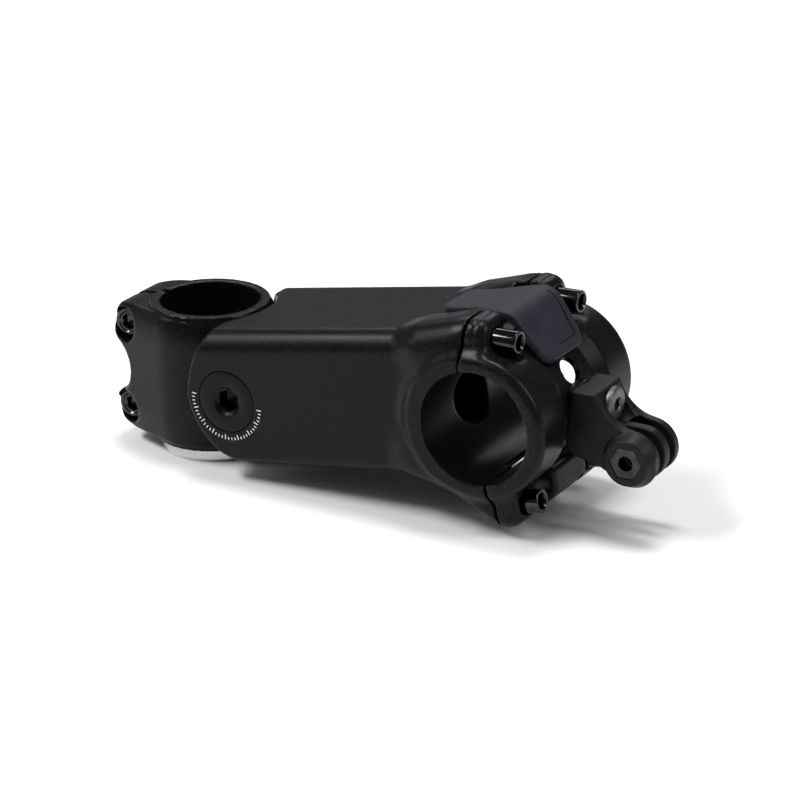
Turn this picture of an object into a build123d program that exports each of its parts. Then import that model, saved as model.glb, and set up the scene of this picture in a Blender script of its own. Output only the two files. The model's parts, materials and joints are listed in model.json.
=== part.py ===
"""Suspension handlebar stem: a steerer clamp and a bar-holding body joined by one pivot, with
elastomers between them. Origin on the steerer axis at the clamp's mid-height, +X towards the
handlebar, +Y to the left, +Z up the steerer. Millimetres."""
from math import atan2, cos, degrees, pi, radians, sin, tan
import os

from build123d import *

# ---------------------------------------------------------------- driving dimensions
STEERER_R = 14.3            # 1-1/8 inch steerer
CLAMP_H = 41.0              # clamp stack height
CLAMP_R = 19.4              # clamp outside, between the collars
RING_R = 17.6               # collar at each end of the clamp
LUG_X, LUG_Z, LUG_R = -21.8, 12.5, 6.2      # pinch bolt axes and the lugs round them
WAIST_X, WAIST_Z, WAIST_R = -28.8, -0.8, 8.8    # hollow between the lugs, across the slit
COLLAR_H, SHOULDER = 3.3, 4.7               # collar, and the slope between it and the full clamp
LUG_HALF, LUG_CORNER = 12.6, 6.5            # half width of the lugs across the slit, and their corners
SLIT = 2.0
PINCH_SEAT, WASHER = -4.4, 1.0              # where the pinch bolts seat, and their washers
PINCH_HEAD_R, PINCH_HEAD_L = 4.25, 4.6
PINCH_POCKET_R = 4.9        # counterbore round a pinch bolt's head
PIVOT_X, PIVOT_Z = 20.0, 0.5
EAR_HALF = 15.4             # half width of the clamp's tongue at the pivot
LEVER_HALF = 11.0           # half width of the tongue in front of it
CHEEK_IN = 15.9             # inside of the body's cheeks
BODY_HALF = 24.0            # outside of the body's flat sides
CHEEK_R = 13.3              # rear edge of the cheeks round the pivot
SCOOP_R = 18.3              # clamp side cut back round the pivot
BAR_X, BAR_Z = 99.8, 8.25   # handlebar axis, 3.5 degrees up from the steerer's square
BAR_R = 15.9                # 31.8 mm bar
BARREL_R = 20.4
BARREL_HALF = 27.5
BORE_RELIEF = 0.3           # the bore is a little wider under the centre band
BAND_R = 18.2               # recessed centre band of the bar clamp
BAND_HALF, BEVEL_HALF = 8.0, 13.5
TOP_RISE = tan(radians(9.6))        # slope of the body's top line
BOT_RISE = tan(radians(8.3))        # slope of the body's bottom line
BOLT_Y = 17.9               # face bolts, each side
BOSS_IN, BOSS_OUT = 12.7, 24.6              # their bosses, across
TOP_BOLT = (108.9, 31.0, 0.5)       # head end x, z and axis tilt in degrees
LOW_BOLT = (115.4, -12.7, 12.0)
TOP_BOSS_R, LOW_BOSS_R = 6.05, 6.0
BOLT_HEAD_R, BOLT_HEAD_L, BOLT_SHANK = 3.2, 8.0, 12.0
M5_R, M5_ROOT_R = 2.5, 2.1              # M5 thread outside, and its nut's bore
WALL = 4.0                  # body top and bottom walls
CAP_R = 8.85                # head of a pivot bolt
CAP_UNDER = 22.0            # underside of that head
BEARING_R, AXLE_R = 8.3, 5.0
BEARING_Y0, BEARING_Y1 = 16.6, 21.2         # the bearing's two faces
BEARING_MID = (BEARING_Y0 + BEARING_Y1) / 2
OUTER_RACE_R, INNER_RACE_R = 7.35, 6.75
SEAL_BORE_R, SEAL_T = 6.85, 0.5
SPACER_R = 6.6
BALLS, BALL_R, BALL_PATH_R = 14, 0.8, 7.05
HUB_X, HUB_Z, HUB_R = 136.0, -1.0, 7.5      # eye of the three-prong accessory mount
PRONG, PRONG_GAP = 3.0, 3.2
MOUNT_HALF = 1.5 * PRONG + PRONG_GAP
EYE_R, EYE_BORE_R = 6.2, 2.6
NUT_FLATS, NUT_SEAT = 8.0, -MOUNT_HALF + 1.0
MOUNT_SCREW_Z, MOUNT_FACE_X = 11.0, 128.0   # screw that fixes the mount, and its front face
MOUNT_BOSS_R, MOUNT_BOSS_X = 5.4, 119.4     # threaded boss on the faceplate for that screw
CAVITY_END, WINDOW_R = 78.0, 9.0            # cavity's front wall and its window to the bar
EAR_R, TIP_R, LEVER_TIP = 9.2, 4.6, 54.0     # tongue: round its pivot, round its tip, tip's x
LEVER_RISE = tan(radians(8.0))
WEDGE_X, WEDGE_HALF = 55.0, 7.0             # preload wedge on the cavity floor
PRELOAD_R, PRELOAD_LIFT = 1.5, 2.9          # its screw, and that screw's height over the floor
FACE_GAP = 0.9              # gap at the split with a bar clamped in
OPEN_TOP_X, OPEN_TOP_Z = 91.5, 10.0         # cradle's middle, open above from here forward
OPEN_LOW_X, OPEN_LOW_Z, OPEN_LOW_HALF = 100.5, 9.0, 10.6     # and open below
SIGHT_X = 14.0              # sight windows, forward of the bar axis
SIGHT_WINDOWS = ((17.8, 34), (-7.6, -48))   # height and lean in degrees of each
SIGHT_WIDTH, SIGHT_HEIGHT, SIGHT_CORNER = 8.4, 7.3, 3.6
SCOOP_GROW, SCOOP_DEPTH = 3.4, 2.4          # scooped pocket round a face bolt's head
BORE_EDGE = 0.6             # bevel at the ends of the bar bore
FAR = 60.0                  # reach of a cutting tool, well clear of the part
RUN = 0.2                   # gap between surfaces that turn past each other


# ---------------------------------------------------------------- helpers
def body_top(x):
    return 19.8 + TOP_RISE * (x - 15)


def body_bottom(x):
    return -18.3 + BOT_RISE * (x - 23.5)


def cyl_y(radius, y0, y1, x=0.0, z=0.0):
    return Pos(x, (y0 + y1) / 2, z) * Rot(90, 0, 0) * Cylinder(radius, y1 - y0)


def cyl_z(radius, z0, z1, x=0.0, y=0.0):
    return Pos(x, y, (z0 + z1) / 2) * Cylinder(radius, z1 - z0)


def cyl_x(radius, x0, x1, y=0.0, z=0.0):
    return Pos((x0 + x1) / 2, y, z) * Rot(0, 90, 0) * Cylinder(radius, x1 - x0)


def block(x0, x1, y0, y1, z0, z1):
    return Pos((x0 + x1) / 2, (y0 + y1) / 2, (z0 + z1) / 2) * Box(x1 - x0, y1 - y0, z1 - z0)


def slab(face, y0, y1):
    """A face drawn in the XZ plane, made solid from y0 to y1."""
    solid = extrude(Plane.XZ * face, amount=(y1 - y0) / 2, both=True)
    return Pos(0, (y0 + y1) / 2, 0) * solid


def prism(points, y0, y1):
    return slab(make_face(Polyline(*points, close=True)), y0, y1)


def hull_face(*shapes):
    return make_hull([edge for shape in shapes for edge in shape.edges()])


def disc(x, z, radius):
    return Pos(x, z) * Circle(radius)


def both_sides(solid):
    return solid + mirror(solid, Plane.XZ)


def hexagon_y(across, y0, y1, x, z):
    shape = Pos(x, z) * RegularPolygon(across / 2, 6, major_radius=False)
    return slab(shape, y0, y1)


def tilted(solid, x, z, tilt):
    """Take a solid built along +X at the origin to (x, z), tilted up by tilt degrees."""
    return Pos(x, 0, z) * Rot(0, -tilt, 0) * solid


def save(name, *solids):
    shape = solids[0] if len(solids) == 1 else Compound(children=list(solids))
    export_step(shape, f"parts/{name}.step")


# ---------------------------------------------------------------- steerer clamp
def lever_tip_z():
    return PIVOT_Z + LEVER_RISE * (LEVER_TIP - PIVOT_X)


def clamp_plan(z, shrink=0.0):
    x, y = LUG_X - LUG_R + LUG_CORNER, LUG_HALF - LUG_CORNER
    ends = [Pos(x, side * y) * Circle(LUG_CORNER - shrink) for side in (-1, 1)]
    return Pos(0, 0, z) * hull_face(Circle(CLAMP_R - shrink), *ends)


def make_clamp():
    half = CLAMP_H / 2
    wall_top = half - COLLAR_H - SHOULDER
    solid = extrude(clamp_plan(-wall_top), 2 * wall_top)
    for side in (1, -1):
        shoulder = clamp_plan(side * (half - COLLAR_H), CLAMP_R - RING_R)
        solid += loft([clamp_plan(side * wall_top), shoulder])
    solid += cyl_z(RING_R, -half, half)
    lugs = [disc(LUG_X, s * LUG_Z, LUG_R) for s in (-1, 1)]
    core = Pos(10, 0) * Rectangle(2 * (10 + RING_R), CLAMP_H)
    solid &= slab(hull_face(core, *lugs), -30, 30)
    solid -= cyl_y(WAIST_R, -30, 30, WAIST_X, WAIST_Z)
    # sides cut back round the pivot, where the body's cheeks swing
    scoop = cyl_y(SCOOP_R, EAR_HALF, 30, PIVOT_X, PIVOT_Z)
    solid -= both_sides(scoop)
    # tongue: ear at the pivot, then a lever reaching forward between the elastomers
    ear = disc(PIVOT_X, PIVOT_Z, EAR_R)
    solid += slab(hull_face(ear, disc(LEVER_TIP, lever_tip_z(), TIP_R)), -LEVER_HALF, LEVER_HALF)
    solid += slab(hull_face(ear, Pos(10, 0) * Rectangle(6, 24)), -EAR_HALF, EAR_HALF)
    solid -= cyl_z(STEERER_R, -half - 1, half + 1)
    for side in (1, -1):
        flare = Cone(STEERER_R, STEERER_R + 0.5, 0.5)
        solid -= Pos(0, 0, side * (half - 0.25)) * Rot(90 - 90 * side, 0, 0) * flare
    solid -= block(-40, -STEERER_R + 2, -SLIT / 2, SLIT / 2, -half - 1, half + 1)
    for z in (LUG_Z, -LUG_Z):
        solid -= cyl_y(M5_R + 0.05, -20, 8.0, LUG_X, z)
        solid -= cyl_y(PINCH_POCKET_R, -30, PINCH_SEAT, LUG_X, z)
    # threaded ends for the two pivot bolts
    solid -= both_sides(cyl_y(AXLE_R, 5.0, 30, PIVOT_X, PIVOT_Z))
    return solid


def make_pinch_bolts():
    bolts = []
    for z in (LUG_Z, -LUG_Z):
        under = PINCH_SEAT - WASHER
        bolt = cyl_y(M5_R, under, 7.0, LUG_X, z)
        bolt += cyl_y(PINCH_HEAD_R, under - PINCH_HEAD_L, under, LUG_X, z)
        rims = bolt.edges().filter_by(GeomType.CIRCLE).sort_by(Axis.Y)
        bolt = chamfer(rims[0], 0.5)        # front rim of the head
        bolts.append(bolt - hexagon_y(4.0, under - 5, under - 2, LUG_X, z))
    return bolts


def make_pinch_washers():
    shells = []
    for z in (LUG_Z, -LUG_Z):
        hole = cyl_y(M5_R + 0.1, -20, 0, LUG_X, z)
        shells.append(cyl_y(4.6, PINCH_SEAT - WASHER, PINCH_SEAT, LUG_X, z) - hole)
    return shells


# ---------------------------------------------------------------- pivot
def make_pivot_bolts():
    bolt = cyl_y(CAP_R, CAP_UNDER, BODY_HALF, PIVOT_X, PIVOT_Z)
    bolt += cyl_y(AXLE_R, 5.5, CAP_UNDER, PIVOT_X, PIVOT_Z)
    sink = Pos(PIVOT_X, BODY_HALF - 0.6, PIVOT_Z) * Rot(-90, 0, 0) * Cone(3.2, 4.0, 1.2)
    bolt -= sink + hexagon_y(6.0, 18.5, 25, PIVOT_X, PIVOT_Z)
    return [bolt, mirror(bolt, Plane.XZ)]


def ring_y(outer, inner, y0, y1):
    return cyl_y(outer, y0, y1, PIVOT_X, PIVOT_Z) - cyl_y(inner, y0 - 1, y1 + 1, PIVOT_X, PIVOT_Z)


def ball_groove():
    ring = Pos(BALL_PATH_R, 0) * Circle(BALL_R + 0.06)
    torus = revolve(ring, Axis.Y)
    return Pos(PIVOT_X, BEARING_MID, PIVOT_Z) * torus


def make_pair(solid):
    return [solid, mirror(solid, Plane.XZ)]


def make_outer_rings():
    return make_pair(ring_y(BEARING_R, OUTER_RACE_R, BEARING_Y0, BEARING_Y1) - ball_groove())


def make_inner_rings():
    return make_pair(ring_y(INNER_RACE_R, AXLE_R, BEARING_Y0, BEARING_Y1) - ball_groove())


def make_balls():
    balls = []
    for side in (1, -1):
        for i in range(BALLS):
            turn = 2 * pi * i / BALLS
            x = PIVOT_X + BALL_PATH_R * cos(turn)
            z = PIVOT_Z + BALL_PATH_R * sin(turn)
            balls.append(Pos(x, side * BEARING_MID, z) * Sphere(BALL_R))
    return balls


def make_spacers():
    inner = ring_y(SPACER_R, AXLE_R, EAR_HALF, BEARING_Y0)
    outer = ring_y(SPACER_R, AXLE_R, BEARING_Y1, CAP_UNDER)
    return make_pair(inner) + make_pair(outer)


def make_seals():
    outer = ring_y(BEARING_R, SEAL_BORE_R, BEARING_Y1, BEARING_Y1 + SEAL_T)
    inner = ring_y(BEARING_R, SEAL_BORE_R, BEARING_Y0 - SEAL_T, BEARING_Y0)
    return make_pair(outer) + make_pair(inner)


# ---------------------------------------------------------------- bar-holding body
def split_tool(grow=0.0):
    """Everything in front of the split between body and faceplate, moved forward by grow."""
    top = BAR_X - 4.8 + grow
    low = BAR_X + 3.2 + grow
    lean = tan(radians(LOW_BOLT[2]))
    points = [(top, 60), (top - 0.4, BAR_Z + 8), (BAR_X + grow, BAR_Z), (low - 9 * lean, BAR_Z - 9),
              (low + 30 * lean, BAR_Z - 48), (200, -40), (200, 60)]
    return prism(points, -60, 60)


def barrel():
    """Outside of the bar clamp: two full bands, a bevelled step and a recessed middle."""
    half, r = BARREL_HALF, BARREL_R
    with BuildSketch() as section:
        with BuildLine():
            Polyline((0, 0), (0, BAND_R), (BAND_HALF, BAND_R), (BEVEL_HALF, r), (half - 3, r))
            RadiusArc((half - 3, r), (half, r - 2.4), 3.2)
            Polyline((half, r - 2.4), (half, 0), (0, 0))
        make_face()
    right = revolve(Rot(0, 0, 90) * section.sketch, Axis.Y)
    solid = right + mirror(right, Plane.XZ)
    return Pos(BAR_X, 0, BAR_Z) * solid


def bar_bore():
    bore = cyl_y(BAR_R, -FAR, FAR, BAR_X, BAR_Z)
    bore += cyl_y(BAR_R + BORE_RELIEF, -BAND_HALF, BAND_HALF, BAR_X, BAR_Z)
    for side in (1, -1):
        flare = Cone(BAR_R, BAR_R + BORE_EDGE, BORE_EDGE)
        place = Pos(BAR_X, side * (BARREL_HALF - BORE_EDGE / 2), BAR_Z)
        bore += place * Rot(-90 * side, 0, 0) * flare
    return bore


def bolt_line(bolt, x):
    head_x, head_z, tilt = bolt
    return head_z + (x - head_x) * tan(radians(tilt))


def bosses(front, foot, rounding):
    """Pair of bosses round the face bolts: hull of a front disc, a foot on the beam and the barrel."""
    face = hull_face(disc(*front), disc(*foot), disc(BAR_X, BAR_Z, BARREL_R - 5))
    solid = slab(face, BOSS_IN, BOSS_OUT)
    outer = solid.faces().sort_by(Axis.Y)[-1]
    return both_sides(fillet(outer.edges(), rounding))


def bolt_holes(radius):
    holes = []
    for bolt in (TOP_BOLT, LOW_BOLT):
        hole = tilted(cyl_x(radius, -BOLT_HEAD_L - BOLT_SHANK - 1, 3), *bolt)
        holes += [Pos(0, side * BOLT_Y, 0) * hole for side in (1, -1)]
    return holes


def rounded_bar(edge_z, rise, side):
    """Long bar whose upper (side 1) or lower (side -1) face lies on a sloping line of the beam."""
    depth = 120
    section = RectangleRounded(2 * BODY_HALF, depth, 5.5)
    bar = extrude(Plane.YZ * section, 300, both=True)
    bar = Rot(0, -degrees(atan2(rise, 1)), 0) * Pos(0, 0, -side * depth / 2) * bar
    return Pos(60, 0, edge_z(60)) * bar


def beam_profile():
    """Side view of the hollow beam, with C-shaped cheeks round the pivot at the rear."""
    rear = PIVOT_X - CHEEK_R
    with BuildSketch() as sketch:
        with BuildLine():
            ThreePointArc((24.5, body_bottom(24.5)), (11.0, -9.6), (rear, PIVOT_Z))
            ThreePointArc((rear, PIVOT_Z), (8.4, 9.5), (13.0, body_top(13.0)))
            Line((13.0, body_top(13.0)), (92, body_top(92)))
            Line((92, body_top(92)), (92, body_bottom(92)))
            Line((92, body_bottom(92)), (24.5, body_bottom(24.5)))
        make_face()
    return sketch.sketch


def bar_clamp_outside():
    """Whole outside of the bar clamp, before it is split into cradle and faceplate."""
    solid = barrel()
    top_front = (96.0, bolt_line(TOP_BOLT, 96.0), TOP_BOSS_R)
    top_foot = (83.0, body_top(83.0) - 5.3, 5.2)
    low_front = (105.0, bolt_line(LOW_BOLT, 105.0), LOW_BOSS_R)
    low_foot = (82.0, body_bottom(82.0) + 6.5, 6.0)
    solid += bosses(top_front, top_foot, 4.0)
    solid += bosses(low_front, low_foot, 3.0)
    return solid


def make_body():
    solid = slab(beam_profile(), -BODY_HALF, BODY_HALF)
    solid &= rounded_bar(body_top, TOP_RISE, 1)
    solid &= rounded_bar(body_bottom, BOT_RISE, -1)
    solid += bar_clamp_outside()
    solid -= split_tool()
    solid -= bar_bore()
    # middle of the cradle, open above and below between the bosses
    solid -= block(OPEN_TOP_X, 120, -BOSS_IN, BOSS_IN, BAR_Z + OPEN_TOP_Z, FAR)
    solid -= block(OPEN_LOW_X, 120, -OPEN_LOW_HALF, OPEN_LOW_HALF, -FAR, BAR_Z - OPEN_LOW_Z)
    # rear of the top wall clears the clamp's collar
    solid -= cyl_z(RING_R + 1.3, -FAR, FAR)
    # cavity for the tongue and the elastomers, and its window into the bar bore
    cavity = [(0, body_top(14) - WALL), (0, -40), (23.0, -40), (25.0, body_bottom(25) + WALL),
              (CAVITY_END, body_bottom(CAVITY_END) + WALL), (CAVITY_END, body_top(CAVITY_END) - WALL),
              (14, body_top(14) - WALL)]
    solid -= prism(cavity, -CHEEK_IN, CHEEK_IN)
    solid -= cyl_x(WINDOW_R, CAVITY_END - 2, 92, 0, BAR_Z - 1)
    # seats of the pivot bolts' heads, and of the bearings
    for side in (1, -1):
        solid -= cyl_y(CAP_R + RUN, *sorted((side * 21.8, side * 30)), PIVOT_X, PIVOT_Z)
        solid -= cyl_y(BEARING_R, *sorted((side * 15, side * CAP_UNDER)), PIVOT_X, PIVOT_Z)
    solid -= bolt_holes(M5_R + 0.25)
    return solid


# ---------------------------------------------------------------- springs and preload
def floor_z(x):
    return body_bottom(x) + WALL


def on_floor(solid):
    """Place a solid built about the origin on the cavity floor, under the lever's tip."""
    return Pos(WEDGE_X, 0, floor_z(WEDGE_X)) * Rot(0, -degrees(atan2(BOT_RISE, 1)), 0) * solid


def lever_top(x):
    """Height of the lever's upper face: the common tangent of its two end circles."""
    length = LEVER_TIP - PIVOT_X
    drop = EAR_R - TIP_R
    return PIVOT_Z + EAR_R + (x - PIVOT_X) * (LEVER_RISE - drop / length) + 0.25


def lever_bottom(x):
    length = LEVER_TIP - PIVOT_X
    return PIVOT_Z - EAR_R + (x - PIVOT_X) * (LEVER_RISE + (EAR_R - TIP_R) / length) - 0.25


def make_elastomer(x0, x1):
    """Rubber block between the lever and the beam's top wall, grooved round its middle."""
    points = [(x0, lever_top(x0)), (x1, lever_top(x1))]
    points += [(x1, body_top(x1) - WALL), (x0, body_top(x0) - WALL)]
    solid = prism(points, -10.0, 10.0)
    solid = fillet(solid.edges().filter_by(Axis.Z, tolerance=1), 2.5)
    mid_x = (x0 + x1) / 2
    mid_z = (lever_top(mid_x) + body_top(mid_x) - WALL) / 2
    groove = block(x0 - 1, x1 + 1, -11, 11, mid_z - 0.9, mid_z + 0.9)
    core = block(x0 + 1.2, x1 - 1.2, -8.8, 8.8, mid_z - 2, mid_z + 2)
    return solid - (groove - core)


def wedge_top(x):
    return 5.6 + 0.12 * x


def make_wedge():
    """Block with a sloping top that lifts the lower pad when its screw draws it back."""
    points = [(-WEDGE_HALF, 0.05), (WEDGE_HALF, 0.05), (WEDGE_HALF, wedge_top(WEDGE_HALF)),
              (-WEDGE_HALF, wedge_top(-WEDGE_HALF))]
    solid = prism(points, -7.0, 7.0)
    solid -= cyl_x(PRELOAD_R + 0.1, -20, 20, 0, PRELOAD_LIFT)
    return on_floor(solid)


def make_lower_pad():
    """Rebound pad between the wedge and the underside of the lever."""
    pad = prism([(-5, wedge_top(-5) + 0.05), (5, wedge_top(5) + 0.05), (5, 30), (-5, 30)], -8.0, 8.0)
    under = prism([(WEDGE_X - 20, lever_bottom(WEDGE_X - 20)), (WEDGE_X + 20, lever_bottom(WEDGE_X + 20)),
                   (WEDGE_X + 20, 60), (WEDGE_X - 20, 60)], -20, 20)
    tip = cyl_y(TIP_R + 0.3, -20, 20, LEVER_TIP, lever_tip_z())
    return on_floor(pad) - under - tip


def make_preload_screw():
    screw = cyl_x(PRELOAD_R, -15, WEDGE_HALF + 0.3, 0, PRELOAD_LIFT)
    screw += cyl_x(2.75, WEDGE_HALF + 0.3, WEDGE_HALF + 4.3, 0, PRELOAD_LIFT)
    socket = extrude(Plane.YZ * RegularPolygon(1.5, 6, major_radius=False), 3)
    screw -= Pos(WEDGE_HALF + 2.0, 0, PRELOAD_LIFT) * socket
    return on_floor(screw)


def make_preload_anchor():
    """Threaded block fixed to the cavity floor, which the preload screw draws the wedge towards."""
    anchor = block(-16, -11, -6, 6, 0, 6.0) - cyl_x(PRELOAD_R + 0.05, -20, 0, 0, PRELOAD_LIFT)
    return on_floor(anchor)


# ---------------------------------------------------------------- faceplate and its bolts
def make_faceplate():
    solid = bar_clamp_outside() & split_tool(FACE_GAP)
    solid -= bar_bore()
    solid += cyl_x(MOUNT_BOSS_R, 110, MOUNT_BOSS_X, 0, MOUNT_SCREW_Z) - bar_bore()
    # scooped pockets round the bolt heads
    for bolt in (TOP_BOLT, LOW_BOLT):
        seat = tilted(cyl_x(BOLT_HEAD_R + 0.5, -BOLT_HEAD_L, 30), *bolt)
        scoop = tilted(cyl_x(BOLT_HEAD_R + SCOOP_GROW, -BOLT_HEAD_L + SCOOP_DEPTH, 30), *bolt)
        for side in (1, -1):
            solid -= Pos(0, side * BOLT_Y, 0) * seat
            solid -= Pos(0, side * BOLT_Y, 0) * scoop
    solid -= bolt_holes(M5_R + 0.05)
    # sight windows in the middle band, above and below the accessory mount
    for z, lean in SIGHT_WINDOWS:
        window = Plane.YZ * RectangleRounded(SIGHT_WIDTH, SIGHT_HEIGHT, SIGHT_CORNER)
        slot = extrude(window, 12, both=True)
        solid -= Pos(BAR_X + SIGHT_X, 0, z) * Rot(0, -lean, 0) * slot
    solid -= cyl_x(M5_R + 0.05, 100, 140, 0, MOUNT_SCREW_Z)
    return solid


def make_face_bolts():
    bolts = []
    for head_x, head_z, tilt in (TOP_BOLT, LOW_BOLT):
        bolt = cyl_x(BOLT_HEAD_R, -BOLT_HEAD_L, 0)
        bolt += cyl_x(M5_R, -BOLT_HEAD_L - BOLT_SHANK, -BOLT_HEAD_L)
        bolt = chamfer(bolt.edges().filter_by(GeomType.CIRCLE).sort_by(Axis.X)[-1], 0.4)
        socket = extrude(Plane.YZ * RegularPolygon(2.0, 6, major_radius=False), 5, both=True)
        bolt = tilted(bolt - Pos(1.2, 0, 0) * socket, head_x, head_z, tilt)
        bolts += [Pos(0, side * BOLT_Y, 0) * bolt for side in (1, -1)]
    return bolts


# ---------------------------------------------------------------- covers
def cover_plan():
    """Top view of the upper cover: narrow flap, wide over the bosses, narrow front lip."""
    flap = [(79.5, 7.6), (89.5, 8.2), (97.5, 11.6)]
    front = [(102.0, 12.3), (106.5, 12.3), (111.0, 10.8), (114.6, 8.4)]
    half = flap + front
    outline = half + [(x, -y) for x, y in reversed(half)]
    return make_face(Polyline(*outline, close=True))


def make_top_cover():
    """Thin flexible shell over the open middle of the clamp, with a rib that locates it."""
    outer = [(79.4, 33.3), (101.5, 37.0), (104.2, 36.2), (114.4, 23.6)]
    inner = [(112.7, 22.4), (103.2, 34.2), (101.0, 35.0), (79.4, 31.2)]
    profile = outer + inner
    solid = prism(profile, -14, 14)
    solid &= fillet_corners(extrude(cover_plan(), 60))
    return solid + block(92.4, 94.6, -9.0, 9.0, 28.0, 34.0)


def fillet_corners(solid):
    return fillet(solid.edges().filter_by(Axis.Z), 1.6)


def make_bottom_cover():
    """Small cap between the lower bosses, under the faceplate's middle band."""
    with BuildSketch() as sketch:
        with BuildLine():
            Polyline((112.9, -7.0), (114.9, -9.0), (115.2, -13.6), (112.0, -17.8), (99.0, -18.4))
            Polyline((99.0, -18.4), (99.0, -16.6), (110.9, -16.2), (113.3, -13.2), (113.1, -9.8))
            Polyline((113.1, -9.8), (111.9, -8.6), (112.9, -7.0))
        make_face()
    return slab(sketch.sketch, -9.0, 9.0)


# ---------------------------------------------------------------- accessory mount
def make_accessory_mount():
    half = MOUNT_HALF
    hub = disc(HUB_X, HUB_Z, HUB_R)
    solid = slab(hull_face(hub, disc(121.5, 3.0, 4.0), disc(123, 6, 3)), -half, half)
    with BuildSketch() as rib:
        with BuildLine():
            Polyline((HUB_X, HUB_Z), (120, HUB_Z), (118.5, 16.2), (126.5, 16.2))
            hub_top = (HUB_X + 1, HUB_Z + HUB_R - 0.1)
            Spline((126.5, 16.2), (130.4, 10.4), hub_top, tangents=[(1, -0.5), (1, 0)])
            Line(hub_top, (HUB_X, HUB_Z))
        make_face()
    solid += slab(rib.sketch, -half, half)
    rear = Plane.YZ.offset(117.0) * (Pos(0, 7.2) * RectangleRounded(15.0, 18.4, 1.0))
    solid += extrude(rear, 3.5)
    solid -= cyl_x(5.15, MOUNT_FACE_X - 1, 160, 0, MOUNT_SCREW_Z)
    # clears the faceplate's middle band and its boss
    hug = revolve(Pos(BAND_R / 2 + 0.1, 0) * Rectangle(BAND_R + 0.2, 40), Axis.Y)
    solid -= Pos(BAR_X, 0, BAR_Z) * hug
    shoulder = [(0, BAND_HALF), (BAND_R + 0.3, BAND_HALF), (BARREL_R + 0.3, BEVEL_HALF)]
    shoulder += [(BARREL_R + 0.3, 30), (0, 30)]
    flare = revolve(make_face(Polyline(*shoulder, close=True)), Axis.Y)
    solid -= both_sides(Pos(BAR_X, 0, BAR_Z) * flare)
    solid -= cyl_x(MOUNT_BOSS_R + 0.1, 110, MOUNT_BOSS_X + 0.1, 0, MOUNT_SCREW_Z)
    # raised eye on the near side holds the captive nut
    eye = Pos(HUB_X, -half - 1.4, HUB_Z) * Rot(90, 0, 0) * Cone(HUB_R, EYE_R, 2.8)
    solid += eye
    for side in (1, -1):
        gap = sorted((side * PRONG / 2, side * (PRONG / 2 + PRONG_GAP)))
        around = disc(HUB_X, HUB_Z, HUB_R + 1.4)
        ahead = disc(HUB_X + 12, HUB_Z, HUB_R + 1.4)
        solid -= slab(hull_face(around, ahead), *gap)
    solid -= cyl_y(EYE_BORE_R, -30, 30, HUB_X, HUB_Z)
    solid -= hexagon_y(NUT_FLATS + 0.2, -30, NUT_SEAT, HUB_X, HUB_Z)
    solid -= cyl_x(M5_R + 0.1, 100, 140, 0, MOUNT_SCREW_Z)
    return solid


def make_mount_screw():
    screw = cyl_x(4.9, MOUNT_FACE_X - 1, MOUNT_FACE_X + 0.8, 0, MOUNT_SCREW_Z)
    screw += cyl_x(M5_R, MOUNT_BOSS_X - 3.0, MOUNT_FACE_X - 1, 0, MOUNT_SCREW_Z)
    screw = fillet(screw.edges().filter_by(GeomType.CIRCLE).sort_by(Axis.X)[-1], 0.6)
    socket = extrude(Plane.YZ * RegularPolygon(1.5, 6, major_radius=False), 3)
    return screw - Pos(MOUNT_FACE_X - 0.8, 0, MOUNT_SCREW_Z) * socket


def make_captive_nut():
    nut = hexagon_y(NUT_FLATS, NUT_SEAT - 3.4, NUT_SEAT, HUB_X, HUB_Z)
    return nut - cyl_y(M5_ROOT_R, -30, 0, HUB_X, HUB_Z)


if __name__ == "__main__":
    os.makedirs("parts", exist_ok=True)
    save("steerer_clamp", make_clamp())
    save("pinch_bolts", *make_pinch_bolts())
    save("pinch_washers", *make_pinch_washers())
    save("pivot_bolts", *make_pivot_bolts())
    save("bearing_outer_rings", *make_outer_rings())
    save("bearing_inner_rings", *make_inner_rings())
    save("bearing_balls", *make_balls())
    save("bearing_spacers", *make_spacers())
    save("bearing_seals", *make_seals())
    save("stem_body", make_body())
    save("rear_elastomer", make_elastomer(31.5, 42.0))
    save("front_elastomer", make_elastomer(43.5, 54.0))
    save("rebound_pad", make_lower_pad())
    save("preload_wedge", make_wedge())
    save("preload_screw", make_preload_screw())
    save("preload_anchor", make_preload_anchor())
    save("faceplate", make_faceplate())
    save("face_bolts", *make_face_bolts())
    save("top_cover", make_top_cover())
    save("bottom_cover", make_bottom_cover())
    save("accessory_mount", make_accessory_mount())
    save("mount_screw", make_mount_screw())
    save("captive_nut", make_captive_nut())
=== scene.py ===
"""Looks for the suspension handlebar stem: smooth forged shells, bolts, covers and materials built
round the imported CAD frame. Shapes are worked out in millimetres and written in metres."""
import json
import math

import bmesh
import bpy
import numpy as np
from mathutils import Matrix, Vector


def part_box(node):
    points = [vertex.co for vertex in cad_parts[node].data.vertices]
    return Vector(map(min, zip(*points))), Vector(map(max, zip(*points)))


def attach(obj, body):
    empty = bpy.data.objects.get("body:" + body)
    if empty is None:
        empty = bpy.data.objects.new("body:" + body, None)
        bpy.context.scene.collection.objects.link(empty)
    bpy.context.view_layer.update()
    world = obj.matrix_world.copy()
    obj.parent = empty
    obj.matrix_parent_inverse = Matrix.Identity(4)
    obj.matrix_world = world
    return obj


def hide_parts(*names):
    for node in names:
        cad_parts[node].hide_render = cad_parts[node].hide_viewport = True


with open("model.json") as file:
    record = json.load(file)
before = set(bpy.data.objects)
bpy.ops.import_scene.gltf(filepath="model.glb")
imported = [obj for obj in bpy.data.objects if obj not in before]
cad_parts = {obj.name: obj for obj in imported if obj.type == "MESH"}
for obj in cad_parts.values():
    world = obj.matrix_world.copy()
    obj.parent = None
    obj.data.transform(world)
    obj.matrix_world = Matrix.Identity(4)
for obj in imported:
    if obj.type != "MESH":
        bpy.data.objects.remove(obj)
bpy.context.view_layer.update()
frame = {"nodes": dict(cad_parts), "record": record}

MM = 0.001

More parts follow.
